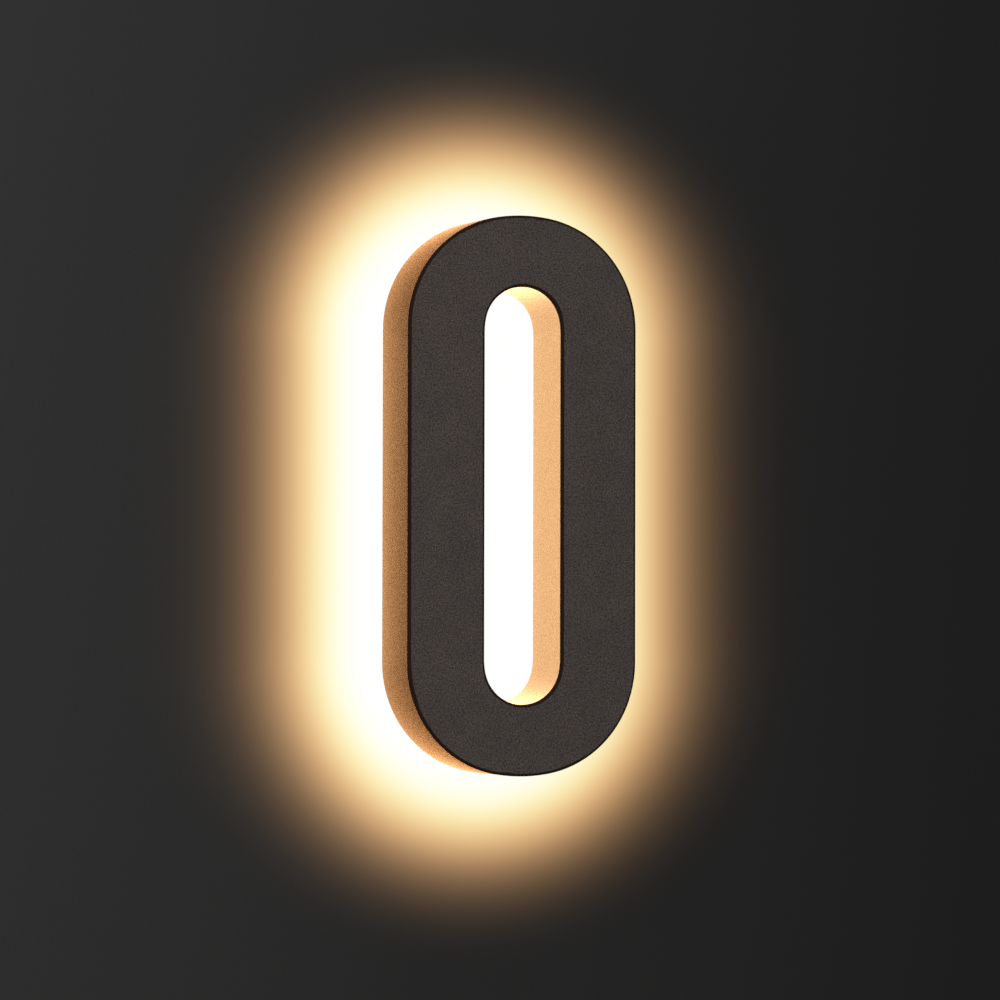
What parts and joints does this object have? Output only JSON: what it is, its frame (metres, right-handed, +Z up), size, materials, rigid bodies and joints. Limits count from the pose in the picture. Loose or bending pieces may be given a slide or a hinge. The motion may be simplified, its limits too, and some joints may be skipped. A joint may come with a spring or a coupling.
{
  "type": "illuminated house number sign",
  "caption": "Halo-lit house number 0: a hollow metal digit on wall spacers, lit from behind, whose shell slides forward off its LED cassette.",
  "frame": {"origin": "on the wall's plane, which is the back of the rubber pads, level with the middle of the four wall screws", "axes": "+Z up the digit, -Y out of the wall towards the reader, +X to the reader's right"},
  "size_m": [0.0864, 0.083, 0.2],
  "materials": {
    "powder_coat": "fine-texture anthracite polyester powder coat on sheet steel",
    "opal_acrylic": "opal acrylic, satin, lit from inside by warm white LEDs",
    "silicone": "translucent grey silicone extrusion",
    "epdm_rubber": "black EPDM rubber",
    "stainless_steel": "plain stainless steel fasteners",
    "aluminium": "turned or milled plain aluminium",
    "brass": "bright nickel-free brass",
    "tinned_copper": "tin-plated copper, as on contacts and the ends of chip resistors",
    "board_mask": "white solder mask on glass-fibre board",
    "led_housing": "moulded white plastic",
    "led_phosphor": "yellow phosphor in clear silicone, lit",
    "black_plastic": "moulded black plastic",
    "resistor_ceramic": "glass-coated ceramic chip",
    "capacitor_can": "drawn aluminium can",
    "terminal_plastic": "moulded grey-green polyamide"
  },
  "bodies": {
    "cassette": {"back_panel_right": "opal_acrylic", "back_panel_left": "opal_acrylic", "outer_seal": "silicone", "inner_seal": "silicone", "wall_pads": "epdm_rubber", "wall_spacers": "aluminium", "wall_washers": "stainless_steel", "wall_screws": "stainless_steel", "lock_blocks": "aluminium", "lock_block_screws": "stainless_steel", "lock_screws": "stainless_steel", "board_pillars": "brass", "pillar_screws": "stainless_steel", "board_screws": "stainless_steel", "led_board_right": "board_mask", "led_board_left": "board_mask", "led_packages": "led_housing", "led_phosphors": "led_phosphor", "resistors": "resistor_ceramic", "protection_diode": "black_plastic", "smoothing_capacitor": "capacitor_can", "link_contacts": "tinned_copper", "board_links": "black_plastic", "cable_grommet": "epdm_rubber", "terminal_block": "terminal_plastic", "terminal_cages": "brass", "terminal_screws": "stainless_steel"},
    "shell": {"face_plate": "powder_coat", "outer_return": "powder_coat", "inner_return": "powder_coat", "stop_tabs": "powder_coat"}
  },
  "joints": [
    {"name": "shell_lift_off", "type": "slide", "parent": "cassette", "child": "shell", "axis": [0, -1, 0], "range_m": [0, 0.035]}
  ]
}
